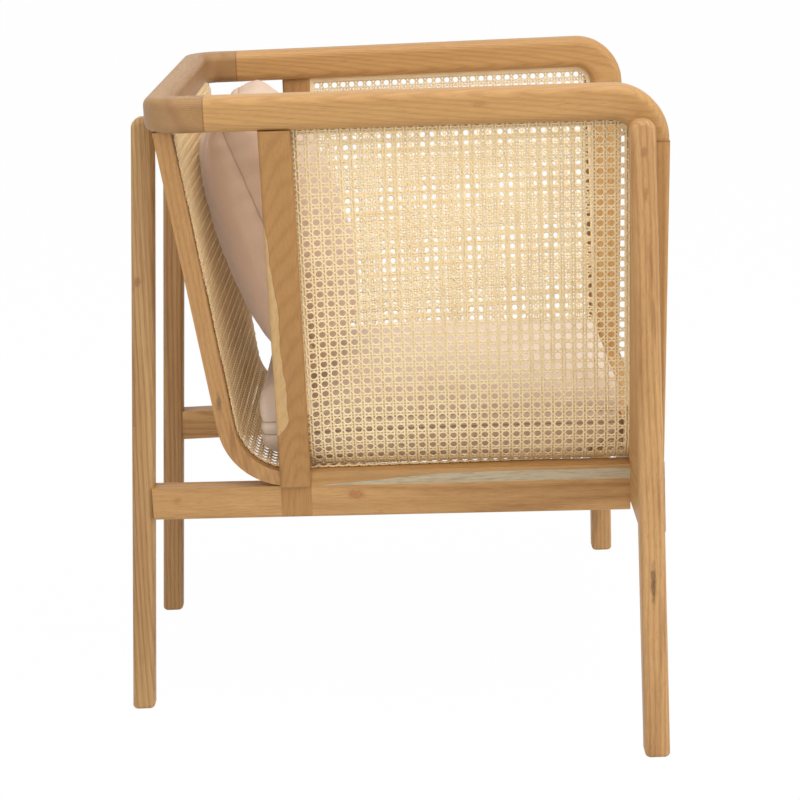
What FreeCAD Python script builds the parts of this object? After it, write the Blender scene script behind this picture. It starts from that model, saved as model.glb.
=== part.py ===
"""Rattan armchair: a rounded wooden frame with woven cane sides, a cane seat shell and two loose cushions.

Millimetres, +Z up, origin on the floor under the middle of the chair. The sitter faces -Y, so left is +X.
"""
import FreeCAD
import Part
import math
import os
import re

import Sketcher

Vector = FreeCAD.Vector

# Driving dimensions: alias, size in millimetres, what it measures
SIZES = [
    ("arm_top", 740, "height of the arms and the back rail"),
    ("arm_height", 38.5, "depth of the arm section"),
    ("arm_width", 40, "width of the arm section"),
    ("arm_joint", 187, "distance back to the joint between arm and back rail"),
    ("arm_front", 318, "distance forward to the front of the arm"),
    ("arm_bend", 60, "outer radius where the arm turns down"),
    ("arm_drop", 62, "height from the arm top down to the joint with the post"),
    ("rear_half", 270, "half width over the arms at the back rail joint"),
    ("front_half", 298, "half width over the arms at the front"),
    ("rail_rear", 256.5, "distance back to the rear face of the back rail"),
    ("rail_thick", 32, "thickness of the back rail"),
    ("corner_round", 46, "outer corner radius of the back rail in plan"),
    ("corner_inner", 16, "inner corner radius of the back rail in plan"),
    ("edge_round", 10, "rounding of the arm and rail edges"),
    ("front_leg_width", 32, "front leg across the chair"),
    ("front_leg_depth", 28, "front leg along the chair"),
    ("front_leg_head_set", 5, "how far back of the post the front leg stands at its head"),
    ("front_leg_foot_set", 2.5, "how far back of the post the front leg stands at its foot"),
    ("front_leg_top", 705, "height of the front leg"),
    ("front_leg_splay", 56, "how far the front foot stands out past the arm"),
    ("leg_round", 7, "rounding of the leg edges"),
    ("leg_arch", 12, "rounding of the leg tops seen from the side"),
    ("foot_round", 5, "rounding of the leg ends"),
    ("front_line", 277, "distance forward to the rear faces of apron, post and leg"),
    ("post_depth", 41, "depth of the front post under the arm"),
    ("post_foot_depth", 28, "depth of the front post on the apron"),
    ("post_foot_half", 210, "distance out to the inner edge of the post on the apron"),
    ("post_round", 4, "rounding of the post and upright edges"),
    ("apron_low", 241, "height of the underside of the front apron"),
    ("apron_height", 86, "depth of the front apron"),
    ("apron_thick", 28, "thickness of the front apron"),
    ("back_leg_size", 26.5, "back leg section"),
    ("back_leg_half", 175, "distance out to the middle of the back leg"),
    ("back_leg_foot", 309, "distance back to the middle of the back foot"),
    ("back_leg_head", 263.5, "distance back to the middle of the back leg top"),
    ("back_leg_top", 711, "height of the back leg"),
    ("side_rail_low", 238.5, "height of the underside of the lower side rail"),
    ("side_rail_height", 38.5, "depth of the lower side rail"),
    ("side_rail_thick", 26, "thickness of the lower side rail"),
    ("side_rail_rear_half", 190, "distance out to the lower side rail at the back leg"),
    ("side_rail_front_half", 218, "distance out to the lower side rail at the apron"),
    ("side_rail_round", 4, "rounding of the lower side rail edges"),
    ("upright_place", 111, "distance back to the middle of the side upright"),
    ("upright_width", 36, "side upright along the chair"),
    ("upright_thick", 26, "side upright across the chair"),
    ("upright_inset", 2, "inset of the upright from the outer face of the arm"),
    ("upright_proud", 5, "how far the upright stands out past the side rail"),
    ("lap_depth", 13, "depth of the lap where the upright crosses the side rail"),
    ("strip_height", 17, "depth of the seat strip on the side rail"),
    ("strip_thick", 30, "width of the seat strip"),
    ("shell_head_front", 226, "distance back to the front of the shell side at the back rail"),
    ("shell_heel_front", 171, "distance back to the inner corner of the shell side at the seat"),
    ("shell_head_depth", 20, "shell side seen from the side, at the back rail"),
    ("shell_bend", 65, "inner radius of the shell side bend"),
    ("shell_top_half", 250, "distance out to the shell side under the back rail"),
    ("shell_low_half", 198, "distance out to the shell side at the seat"),
    ("shell_side_thick", 26, "shell side across the chair"),
    ("cane_thick", 3, "thickness of the woven cane"),
    ("cane_margin", 6, "inset of the cane edge from the frame edge"),
    ("curl_depth", 18, "how far the side cane curls in at its foot"),
    ("curl_height", 70, "height of the curl of the side cane"),
    ("spline_width", 5.5, "width of the reed that holds the cane"),
    ("spline_thick", 3, "thickness of the reed that holds the cane"),
    ("bearer_width", 28, "seat bearer along the chair"),
    ("bearer_height", 30, "depth of the seat bearer"),
    ("dowel_size", 10, "dowel diameter"),
    ("dowel_length", 44, "dowel length"),
    ("dowel_play", 0.1, "clearance round a dowel"),
    ("dowel_offset", 7.5, "distance of each of a pair of dowels from the middle of the joint"),
    ("rest_gap", 0.4, "clearance under and behind a loose cushion"),
    ("seat_pad_front", 272, "distance forward to the front of the seat cushion"),
    ("seat_pad_rear", 152, "distance back to the rear of the seat cushion"),
    ("seat_pad_gap", 3, "clearance between the seat cushion and the uprights"),
    ("seat_pad_edge", 84, "height of the seat cushion at its edges"),
    ("seat_pad_crown", 24, "rise of the seat cushion in the middle"),
    ("seat_pad_lift", 18, "how far the seat cushion ends curl up off the seat"),
    ("seat_pad_pull", 7, "how far the seat cushion sides draw in"),
    ("seat_pad_round", 18, "how far the sides of the seat cushion swell beyond its seams"),
    ("seat_pad_end", 70, "height of the seat cushion at its front and rear ends"),
    ("back_pad_gap", 2, "clearance between the back cushion and the uprights at its foot"),
    ("back_pad_tall", 333, "height of the back cushion along its lean"),
    ("back_pad_thick", 140, "thickness of the back cushion"),
    ("back_pad_side", 60, "thickness of the back cushion at its sides"),
    ("back_pad_hem", 36, "thickness of the back cushion at its seam"),
    ("pad_bow", 2, "bow of the flattest cushion edges"),
    ("back_pad_pull", 12, "how far the back cushion sides draw in"),
    ("back_pad_lean", 16.5, "lean of the back cushion in degrees"),
    ("back_pad_place", 70, "distance back to the foot of the back cushion"),
]

doc = FreeCAD.newDocument("RattanArmchair")
sheet = doc.addObject("Spreadsheet::Sheet", "Sizes")
for row, (alias, size, note) in enumerate(SIZES, start=1):
    sheet.set(f"A{row}", note)
    sheet.set(f"B{row}", str(size))
    sheet.setAlias(f"B{row}", alias)
doc.recompute()

ALIASES = {alias for alias, _, _ in SIZES}
SIDES = (("left", 1), ("right", -1))
nodes = []


def formula(text):
    """Return a document expression with every size read from the sheet."""
    return re.sub(r"[a-z][a-z_]+", lambda word: "Sizes." + word[0] if word[0] in ALIASES else word[0], text)


def value(text):
    """Work a formula out to a number."""
    return float(sheet.evalExpression(formula(str(text))))


# Heights and lines that several pieces share
ARM_LOW = "arm_top - arm_height"
POST_TOP = "arm_top - arm_drop"
APRON_TOP = "apron_low + apron_height"
RAIL_TOP = "side_rail_low + side_rail_height"
SEAT_LEVEL = f"{RAIL_TOP} + strip_height"
SIDE_FOOT = f"{SEAT_LEVEL} + cane_thick"
UPRIGHT_REAR = "upright_place + upright_width / 2"
UPRIGHT_FRONT = "upright_place - upright_width / 2"
ARM_FLARE = "(front_half - rear_half) / (arm_front + arm_joint)"
SPLAY_SLOPE = "front_leg_splay / front_leg_top"
RAIL_SLOPE = "(side_rail_front_half - side_rail_rear_half) / (front_line + back_leg_foot)"


def arm_half(along):
    """Half width over the arms at a distance back from the middle of the chair."""
    return f"rear_half + (arm_joint - ({along})) * {ARM_FLARE}"


def leg_half(height):
    """Distance out to the inner face of the splayed front leg at a height."""
    return f"front_half + (front_leg_top - ({height})) * {SPLAY_SLOPE}"


def upright_half(height):
    """Distance out to the leaning side upright at a height."""
    low = f"({rail_half('upright_place')} + upright_proud)"
    top = f"({arm_half('upright_place')} - upright_inset)"
    share = f"(({height}) - ({RAIL_TOP})) / ({ARM_LOW} - ({RAIL_TOP}))"
    return f"({low} + ({top} - {low}) * {share})"


def back_leg_face(height):
    """Distance back to the front face of the raked back leg at a height."""
    return f"back_leg_foot - (back_leg_foot - back_leg_head) * ({height}) / back_leg_top - back_leg_size / 2"


def rail_half(along):
    """Distance out to the lower side rail at a distance back from the middle of the chair."""
    return f"side_rail_rear_half + (back_leg_foot - ({along})) * {RAIL_SLOPE}"


def sketch_polygon(name, plane, level, corners):
    """Draw a closed outline whose corners are formulas, on a plane at a level along the plane's normal."""
    sketch = doc.addObject("Sketcher::SketchObject", name)
    turns = {
        "XY": FreeCAD.Rotation(),
        "XZ": FreeCAD.Rotation(Vector(1, 0, 0), 90),
        "YZ": FreeCAD.Rotation(Vector(1, 1, 1), 120),
    }
    axis = {"XY": "z", "XZ": "y", "YZ": "x"}[plane]
    sketch.Placement = FreeCAD.Placement(Vector(), turns[plane])
    sketch.setExpression(f"Placement.Base.{axis}", formula(level))
    points = [Vector(value(across), value(along), 0) for across, along in corners]
    count = len(points)
    for index, point in enumerate(points):
        sketch.addGeometry(Part.LineSegment(point, points[(index + 1) % count]), False)
    for index in range(count):
        sketch.addConstraint(Sketcher.Constraint("Coincident", index, 2, (index + 1) % count, 1))
    for index, (across, along) in enumerate(corners):
        for kind, text, size in (("DistanceX", across, points[index].x), ("DistanceY", along, points[index].y)):
            number = sketch.addConstraint(Sketcher.Constraint(kind, -1, 1, index, 1, size))
            sketch.setExpression(f"Constraints[{number}]", formula(text))
    return sketch


def loft_between(name, plane, sections):
    """Make a straight-sided solid through outlines given as (level, corners)."""
    loft = doc.addObject("Part::Loft", name)
    loft.Sections = [
        sketch_polygon(f"{name}_section{number}", plane, level, corners)
        for number, (level, corners) in enumerate(sections)
    ]
    loft.Solid = True
    loft.Ruled = True
    doc.recompute()
    return loft


def extrude_outline(name, plane, level, corners, depth, direction):
    """Push an outline along a direction by a depth formula."""
    solid = doc.addObject("Part::Extrusion", name)
    solid.Base = sketch_polygon(f"{name}_outline", plane, level, corners)
    solid.DirMode = "Custom"
    solid.Dir = direction
    solid.setExpression("LengthFwd", formula(depth))
    solid.Solid = True
    doc.recompute()
    return solid


def round_edges(name, base, rounds):
    """Fillet edges of a solid, where rounds pairs a test of an edge with a radius formula."""
    doc.recompute()
    chosen = []
    for number, edge in enumerate(base.Shape.Edges, start=1):
        for test, radius in rounds:
            if test(edge):
                chosen.append((number, value(radius), value(radius)))
                break
    fillet = doc.addObject("Part::Fillet", name)
    fillet.Base = base
    fillet.Edges = chosen
    doc.recompute()
    return fillet


def combine(kind, name, base, tools):
    """Cut tools from a base, or keep what they share, as Part::Cut or Part::Common."""
    result = base
    for number, tool in enumerate(tools):
        step = doc.addObject(kind, f"{name}_{number}")
        step.Base = result
        step.Tool = tool
        result = step
    doc.recompute()
    return result


def finish(label, solid):
    """Name a sub-part and keep it for the export."""
    solid.Label = label
    nodes.append(solid)
    return solid


def box_corners(low_across, high_across, low_along, high_along):
    """Corners of an upright rectangle given by four formulas."""
    return [(low_across, low_along), (high_across, low_along), (high_across, high_along), (low_across, high_along)]


def side_corners(side, inner, outer, rear, front):
    """Corners of a plan rectangle on one side of the chair: inner and outer edges, rear and front lines."""
    return box_corners(f"{side} * ({inner})", f"{side} * ({outer})", front, rear)


def runs_along(edge, axis, least=0.9):
    """Say whether a straight edge runs mostly along an axis."""
    ends = [vertex.Point for vertex in edge.Vertexes]
    if len(ends) < 2:
        return False
    way = ends[1] - ends[0]
    straight = edge.Length < way.Length * 1.0001
    return straight and abs(way.normalize().dot(axis)) > least


def middle(edge):
    """Return the point halfway along an edge."""
    return edge.valueAt((edge.FirstParameter + edge.LastParameter) / 2)


UP = Vector(0, 0, 1)
ACROSS = Vector(1, 0, 0)
ALONG = Vector(0, 1, 0)


def make_dowel(name, centre, axis):
    """Place one dowel by the formulas of its middle and the axis that it lies along."""
    dowel = doc.addObject("Part::Cylinder", name)
    dowel.setExpression("Radius", formula("dowel_size / 2"))
    dowel.setExpression("Height", formula("dowel_length"))
    turn = FreeCAD.Rotation(UP, axis)
    start = Vector(*[value(text) for text in centre]) - axis * (value("dowel_length") / 2)
    dowel.Placement = FreeCAD.Placement(start, turn)
    return dowel


def make_dowel_set(label, places):
    """Make a group of dowels and the holes that they fill, from (centre, axis) pairs."""
    pins = [make_dowel(f"{label}_{number}", centre, axis) for number, (centre, axis) in enumerate(places)]
    group = doc.addObject("Part::Compound", f"{label}_group")
    group.Links = pins
    holes = []
    for number, pin in enumerate(pins):
        hole = doc.addObject("Part::Cylinder", f"{label}_hole{number}")
        hole.setExpression("Radius", formula("dowel_size / 2 + dowel_play"))
        hole.setExpression("Height", formula("dowel_length"))
        hole.Placement = pin.Placement
        holes.append(hole)
    doc.recompute()
    finish(label, group)
    return holes


# Dowel places on both sides: the middle of each dowel and its axis
def both_sides(places):
    """Repeat places on the left and the right side of the chair."""
    return [((f"{side} * ({across})", along, height), axis)
            for _, side in SIDES for across, along, height, axis in places]


ARM_MIDDLE = "arm_top - arm_height / 2"
POST_MIDDLE_Y = "-(arm_front + front_line) / 2"
SIDE_RAIL_MIDDLE = "side_rail_low + side_rail_height / 2"
APRON_MIDDLE = "apron_low + apron_height / 2"
LEG_MIDDLE_Y = "(front_leg_head_set + front_leg_foot_set) / 2 - front_line - front_leg_depth / 2"

arm_holes = make_dowel_set("arm_dowels", both_sides([
    ("rear_half - arm_width / 2 - dowel_offset", "arm_joint", ARM_MIDDLE, ALONG),
    ("rear_half - arm_width / 2 + dowel_offset", "arm_joint", ARM_MIDDLE, ALONG),
]))
post_holes = make_dowel_set("post_dowels", both_sides([
    ("front_half - arm_width / 2 - dowel_offset", POST_MIDDLE_Y, POST_TOP, UP),
    ("front_half - arm_width / 2 + dowel_offset", POST_MIDDLE_Y, POST_TOP, UP),
]))
LEG_DOWEL_HEIGHTS = (f"{POST_TOP} - 2 * dowel_length", f"({POST_TOP} + {APRON_TOP}) / 2", APRON_MIDDLE)
leg_holes = make_dowel_set("front_leg_dowels", both_sides([
    (leg_half(height), LEG_MIDDLE_Y, height, ACROSS) for height in LEG_DOWEL_HEIGHTS
]))
rail_front_holes = make_dowel_set("apron_dowels", both_sides([
    ("side_rail_front_half - side_rail_thick / 2", "-front_line", SIDE_RAIL_MIDDLE, ALONG),
]))
rail_rear_holes = make_dowel_set("back_leg_dowels", both_sides([
    ("side_rail_rear_half - side_rail_thick / 2", back_leg_face(SIDE_RAIL_MIDDLE), SIDE_RAIL_MIDDLE, ALONG),
]))
upright_holes = make_dowel_set("upright_dowels", both_sides([
    (f"{upright_half(ARM_LOW)} - upright_thick / 2", "upright_place", ARM_LOW, UP),
]))


def make_back_rail():
    """The cross rail of the back, in one with both rounded corners."""
    corners = [
        ("rear_half", "arm_joint"),
        ("rear_half", "rail_rear"),
        ("-rear_half", "rail_rear"),
        ("-rear_half", "arm_joint"),
        ("arm_width - rear_half", "arm_joint"),
        ("arm_width - rear_half", "rail_rear - rail_thick"),
        ("rear_half - arm_width", "rail_rear - rail_thick"),
        ("rear_half - arm_width", "arm_joint"),
    ]
    block = extrude_outline("back_rail_block", "XY", ARM_LOW, corners, "arm_height", UP)
    inner_line = value("rail_rear - rail_thick") - 1
    outer_line = value("rail_rear") - 1
    bent = round_edges("back_rail_bent", block, [
        (lambda edge: runs_along(edge, UP) and middle(edge).y > outer_line, "corner_round"),
        (lambda edge: runs_along(edge, UP) and middle(edge).y > inner_line, "corner_inner"),
    ])
    joint_line = value("arm_joint") + 0.5
    soft = round_edges("back_rail_soft", bent, [
        (lambda edge: not runs_along(edge, UP) and middle(edge).y > joint_line, "edge_round"),
    ])
    return finish("back_rail", combine("Part::Cut", "back_rail_drilled", soft, arm_holes))


def make_arm(word, side):
    """An arm that flares forward and turns down at the front to meet the post."""
    flare = value(ARM_FLARE)
    stretch = f"sqrt(1 + ({ARM_FLARE}) ^ 2)"
    corners = [
        (f"(arm_joint) * {stretch}", ARM_LOW),
        (f"(arm_joint) * {stretch}", "arm_top"),
        (f"(-arm_front) * {stretch}", "arm_top"),
        (f"(-arm_front) * {stretch}", POST_TOP),
        (f"(-front_line) * {stretch}", POST_TOP),
        (f"(-front_line) * {stretch}", ARM_LOW),
    ]
    bar = extrude_outline(f"{word}_arm_bar", "YZ", "0", corners, "arm_width", ACROSS * -side)
    sketch = bar.Base
    centre_half = value(arm_half("0"))
    turn = FreeCAD.Rotation(UP, math.degrees(math.atan(flare)) * side)
    sketch.setExpression("Placement.Base.x", formula(f"{side} * ({arm_half('0')})"))
    sketch.Placement = FreeCAD.Placement(Vector(side * centre_half, 0, 0), turn.multiply(sketch.Placement.Rotation))
    doc.recompute()
    front = -value("arm_front") + 1
    inner = -value("front_line")
    bent = round_edges(f"{word}_arm_bent", bar, [
        (lambda edge: runs_along(edge, ACROSS) and middle(edge).y < front
         and middle(edge).z > value("arm_top") - 1, "arm_bend"),
        (lambda edge: runs_along(edge, ACROSS) and abs(middle(edge).y - inner) < 1
         and abs(middle(edge).z - value(ARM_LOW)) < 1, "arm_bend - arm_height"),
    ])
    rear_face = value("arm_joint") - 1
    foot_face = value(POST_TOP) + 1
    soft = round_edges(f"{word}_arm_soft", bent, [
        (lambda edge: not runs_along(edge, ACROSS, 0.99) and middle(edge).y < rear_face
         and middle(edge).z > foot_face, "edge_round"),
    ])
    holes = arm_holes + post_holes + upright_holes
    return finish(f"{word}_arm", combine("Part::Cut", f"{word}_arm_drilled", soft, holes))


def make_front_leg(word, side):
    """A straight splayed leg lapped on the outside of the arm and the post."""
    sections = [
        (level, side_corners(side, leg_half(level), f"{leg_half(level)} + front_leg_width",
                             f"{back} - front_line", f"{back} - front_line - front_leg_depth"))
        for level, back in (("0", "front_leg_foot_set"), ("front_leg_top", "front_leg_head_set"))
    ]
    stick = loft_between(f"{word}_front_leg_stick", "XY", sections)
    eased = ease_leg(f"{word}_front_leg", stick, "front_leg_top")
    return finish(f"{word}_front_leg", combine("Part::Cut", f"{word}_front_leg_drilled", eased, leg_holes))


def ease_leg(name, stick, top):
    """Arch the top of a leg, then round its long edges and its floor end."""
    high = value(top) - 1
    arched = round_edges(f"{name}_arched", stick, [
        (lambda edge: runs_along(edge, ACROSS) and middle(edge).z > high, "leg_arch"),
    ])
    soft = round_edges(f"{name}_soft", arched, [
        (lambda edge: middle(edge).z > 1 and not runs_along(edge, ACROSS), "leg_round"),
    ])
    return round_edges(f"{name}_eased", soft, [
        (lambda edge: middle(edge).z < 1, "foot_round"),
    ])


def make_back_leg(word, side, back_rail):
    """A raked leg notched under the back rail."""
    sections = [
        (level, side_corners(side, "back_leg_half - back_leg_size / 2", "back_leg_half + back_leg_size / 2",
                             f"{place} + back_leg_size / 2", f"{place} - back_leg_size / 2"))
        for level, place in (("0", "back_leg_foot"), ("back_leg_top", "back_leg_head"))
    ]
    stick = loft_between(f"{word}_back_leg_stick", "XY", sections)
    eased = ease_leg(f"{word}_back_leg", stick, "back_leg_top")
    return finish(f"{word}_back_leg",
                  combine("Part::Cut", f"{word}_back_leg_cut", eased, [back_rail] + rail_rear_holes))


def make_apron():
    """The cross rail between the front legs, with ends cut to the splay."""
    sections = []
    for level in ("apron_low", APRON_TOP):
        half = leg_half(level)
        sections.append((level, box_corners(f"-({half})", half, "-front_line - apron_thick", "-front_line")))
    board = loft_between("apron_board", "XY", sections)
    low = value("apron_low") + 1
    soft = round_edges("apron_soft", board, [
        (lambda edge: runs_along(edge, ACROSS) and edge.BoundBox.ZMax < low, "edge_round"),
    ])
    return finish("front_apron", combine("Part::Cut", "apron_drilled", soft, leg_holes + rail_front_holes))


def make_front_post(word, side):
    """A tapered board from the arm down to the apron, between the cane and the leg."""
    sections = [
        (APRON_TOP, side_corners(side, "post_foot_half", leg_half(APRON_TOP),
                                 "-front_line", "-front_line - post_foot_depth")),
        (POST_TOP, side_corners(side, "front_half - arm_width", leg_half(POST_TOP),
                                "-front_line", "-front_line - post_depth")),
    ]
    board = loft_between(f"{word}_front_post_board", "XY", sections)
    soft = round_edges(f"{word}_front_post_soft", board, [
        (lambda edge: runs_along(edge, UP), "post_round"),
    ])
    return finish(f"{word}_front_post",
                  combine("Part::Cut", f"{word}_front_post_drilled", soft, post_holes + leg_holes))


def make_side_rail(word, side, back_leg, lap):
    """The lower side rail from the back leg to the apron, notched for the upright."""
    sections = [
        (along, box_corners(f"{side} * ({rail_half(along)} - side_rail_thick)", f"{side} * ({rail_half(along)})",
                            "side_rail_low", RAIL_TOP))
        for along in (back_leg_face("side_rail_low"), "-front_line")
    ]
    bar = loft_between(f"{word}_side_rail_bar", "XZ", sections)
    soft = round_edges(f"{word}_side_rail_soft", bar, [
        (lambda edge: runs_along(edge, ALONG) and edge.BoundBox.ZMax < value("side_rail_low") + 1,
         "side_rail_round"),
    ])
    tools = [back_leg, lap] + rail_front_holes + rail_rear_holes
    finish(f"{word}_lower_rail", combine("Part::Cut", f"{word}_side_rail_cut", soft, tools))
    return soft


def make_lap(word, side):
    """The block of wood that the upright and the side rail share at their lap joint."""
    outer = rail_half("upright_place")
    return extrude_outline(f"{word}_lap", "XY", "side_rail_low - side_rail_height", side_corners(
        side, f"{outer} - lap_depth", f"{outer} + lap_depth", UPRIGHT_REAR, UPRIGHT_FRONT),
        "2 * side_rail_height", UP)


def make_upright(word, side):
    """The leaning side upright from the arm to the lower rail, with a tongue lapped over the rail."""
    sections = [
        (level, side_corners(side, f"{upright_half(level)} - upright_thick", upright_half(level),
                             UPRIGHT_REAR, UPRIGHT_FRONT))
        for level in (RAIL_TOP, ARM_LOW)
    ]
    stick = loft_between(f"{word}_upright_stick", "XY", sections)
    return round_edges(f"{word}_upright_soft", stick, [
        (lambda edge: runs_along(edge, UP), "post_round"),
    ])


def add_tongue(word, stick, lap, rail_bar):
    """Join the lapped tongue to the upright and drill its top."""
    tongue = combine("Part::Common", f"{word}_tongue", rail_bar, [lap])
    joined_stick = combine("Part::Fuse", f"{word}_upright_joined", stick, [tongue])
    return finish(f"{word}_upright", combine("Part::Cut", f"{word}_upright_drilled", joined_stick, upright_holes))


def shell_outline(front, head_rear, heel_rear, tail):
    """Side view of the shell: down the leaning back, round the bend and forward along the seat."""
    return [
        (f"shell_head_front - ({front})", ARM_LOW),
        (f"shell_heel_front - ({front})", f"{SEAT_LEVEL} + ({front})"),
        (tail, f"{SEAT_LEVEL} + ({front})"),
        (tail, f"{SEAT_LEVEL} - ({heel_rear})"),
        (f"shell_heel_front + ({heel_rear})", f"{SEAT_LEVEL} - ({heel_rear})"),
        (f"shell_head_front + ({head_rear})", ARM_LOW),
    ]


def bend_shell(name, band, inner, outer):
    """Round the two edges at the heel of the shell."""
    heel = value("shell_heel_front")
    seat = value(SEAT_LEVEL)
    reach = value("strip_height") + value("cane_thick")
    edges = [edge for edge in band.Shape.Edges if runs_along(edge, ACROSS)
             and abs(middle(edge).y - heel) < reach and abs(middle(edge).z - seat) < reach]
    top_edge = max(middle(edge).z for edge in edges)

    def at_heel(edge):
        return runs_along(edge, ACROSS) and abs(middle(edge).y - heel) < reach and middle(edge).z < seat + reach

    return round_edges(name, band, [
        (lambda edge: at_heel(edge) and middle(edge).z > top_edge - 0.1, inner),
        (at_heel, outer),
    ])


def shell_slab(name, outer_inset, depth, low, side):
    """A leaning slab, seen from the front, that trims the shell sides or the shell cane."""
    top_outer = f"shell_top_half - {outer_inset}"
    low_outer = f"shell_low_half - {outer_inset}"
    corners = [
        (f"{side} * ({low_outer} - {depth})", low),
        (f"{side} * ({low_outer})", low),
        (f"{side} * ({top_outer})", ARM_LOW),
        (f"{side} * ({top_outer} - {depth})", ARM_LOW),
    ]
    return extrude_outline(name, "XZ", "back_leg_foot", corners, "back_leg_foot + front_line", -ALONG)


def make_shell_side(word, side, upright):
    """The bent side member of the shell, from the back rail down to the upright."""
    outline = shell_outline("0", "shell_head_depth", "strip_height", UPRIGHT_FRONT)
    band = extrude_outline(f"{word}_shell_band", "YZ", "-front_half", outline, "2 * front_half", ACROSS)
    bent = bend_shell(f"{word}_shell_bent", band, "shell_bend", "shell_bend + strip_height")
    slab = shell_slab(f"{word}_shell_slab", "0", "shell_side_thick", RAIL_TOP, side)
    trimmed = combine("Part::Common", f"{word}_shell_trim", bent, [slab])
    return finish(f"{word}_shell_side", combine("Part::Cut", f"{word}_shell_cut", trimmed, [upright]))


def make_seat_strip(word, side):
    """The strip on the lower rail that carries the cane of the seat and the side."""
    sections = [
        (along, box_corners(f"{side} * ({rail_half(along)} - strip_thick)", f"{side} * ({rail_half(along)})",
                            RAIL_TOP, SEAT_LEVEL))
        for along in (UPRIGHT_FRONT, "-front_line")
    ]
    return finish(f"{word}_seat_strip", loft_between(f"{word}_seat_strip_bar", "XZ", sections))


def make_shell_cane(uprights):
    """The woven sheet of the back and the seat, over the front of the shell sides."""
    outline = shell_outline("cane_thick", "0", "0", "-front_line")
    band = extrude_outline("shell_cane_band", "YZ", "-front_half", outline, "2 * front_half", ACROSS)
    bent = bend_shell("shell_cane_bent", band, "shell_bend - cane_thick", "shell_bend")
    low_half = "shell_low_half - cane_margin"
    top_half = "shell_top_half - cane_margin"
    corners = [(f"-({low_half})", RAIL_TOP), (low_half, RAIL_TOP), (top_half, ARM_LOW), (f"-({top_half})", ARM_LOW)]
    slab = extrude_outline("shell_cane_slab", "XZ", "back_leg_foot", corners, "back_leg_foot + front_line", -ALONG)
    trimmed = combine("Part::Common", "shell_cane_trim", bent, [slab])
    return finish("shell_cane", combine("Part::Cut", "shell_cane_cut", trimmed, uprights))


def side_sheet(name, side, inset, depth):
    """A leaning sheet between strip, arm, upright and post that curls in towards the strip at its foot."""
    def corners(rear_half, front_half):
        outer = [f"{half} - ({inset})" for half in (rear_half, front_half)]
        inner = [f"{half} - ({depth})" for half in outer]
        return [(f"{side} * ({inner[0]})", UPRIGHT_FRONT), (f"{side} * ({outer[0]})", UPRIGHT_FRONT),
                (f"{side} * ({outer[1]})", "-front_line"), (f"{side} * ({inner[1]})", "-front_line")]

    ends = (UPRIGHT_FRONT, "-front_line")
    foot = [f"{rail_half(end)} - cane_margin - curl_depth" for end in ends]
    head = [f"{arm_half(end)} - arm_width / 2" for end in ends]
    share = f"curl_height / ({ARM_LOW} - ({SIDE_FOOT}))"
    knee = [f"({low}) + (({high}) - ({low})) * {share} + curl_depth" for low, high in zip(foot, head)]
    levels = (SIDE_FOOT, f"{SIDE_FOOT} + curl_height", ARM_LOW)
    whole = loft_between(name, "XY", [(level, corners(*halves)) for level, halves in zip(levels, (foot, knee, head))])
    return combine("Part::Common", f"{name}_trim", whole, [side_frame(f"{name}_frame", "0")])


def side_frame(name, border):
    """A block with the outline of the side opening, rounded where the arm turns down, less a border."""
    outline = box_corners(f"-front_line + {border}", f"{UPRIGHT_FRONT} - {border}",
                          f"{SIDE_FOOT} + {border}", f"{ARM_LOW} - {border}")
    block = extrude_outline(name, "YZ", "-2 * front_half", outline, "4 * front_half", ACROSS)
    front = value(f"-front_line + {border}") + 1
    high = value(f"{ARM_LOW} - {border}") - 1
    return round_edges(f"{name}_round", block, [
        (lambda edge: runs_along(edge, ACROSS) and middle(edge).y < front and middle(edge).z > high,
         f"arm_bend - arm_height - {border}"),
    ])


def make_side_cane(word, side):
    """The woven sheet that closes the side under the arm."""
    return finish(f"{word}_side_cane", side_sheet(f"{word}_side_cane_sheet", side, "0", "cane_thick"))


def make_side_spline(word, side):
    """The reed border that holds the side cane from the inside."""
    band = side_sheet(f"{word}_side_spline_sheet", side, "cane_thick", "spline_thick")
    window = side_frame(f"{word}_spline_window", "spline_width")
    return finish(f"{word}_side_spline", combine("Part::Cut", f"{word}_spline_cut", band, [window]))


def make_seat_bearer():
    """The cross bearer under the seat, between the lower rails at the uprights."""
    front = "upright_place - bearer_width / 2"
    rear = "upright_place + bearer_width / 2"
    half = f"{rail_half(rear)} - side_rail_thick"
    bar = extrude_outline("seat_bearer_bar", "XY", f"{RAIL_TOP} - bearer_height",
                          box_corners(f"-({half})", half, front, rear), "bearer_height", UP)
    return finish("seat_bearer", bar)


# An arc needs some height, so the flat underside of the seat cushion rises by this much
SLIGHT_BOW = 0.05

# Cross-sections that each cushion is drawn through
CUSHION_ROWS = 7

# Power of the swell up the back cushion: a lower one keeps it fuller towards its top and foot
PILLOW_FULLNESS = 0.4


def arc_wire(points):
    """Close a wire of three-point arcs, each from a corner through a middle point to the next corner."""
    edges = [Part.Arc(start, through, end).toShape() for start, through, end in points]
    return Part.Wire(edges)


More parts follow.
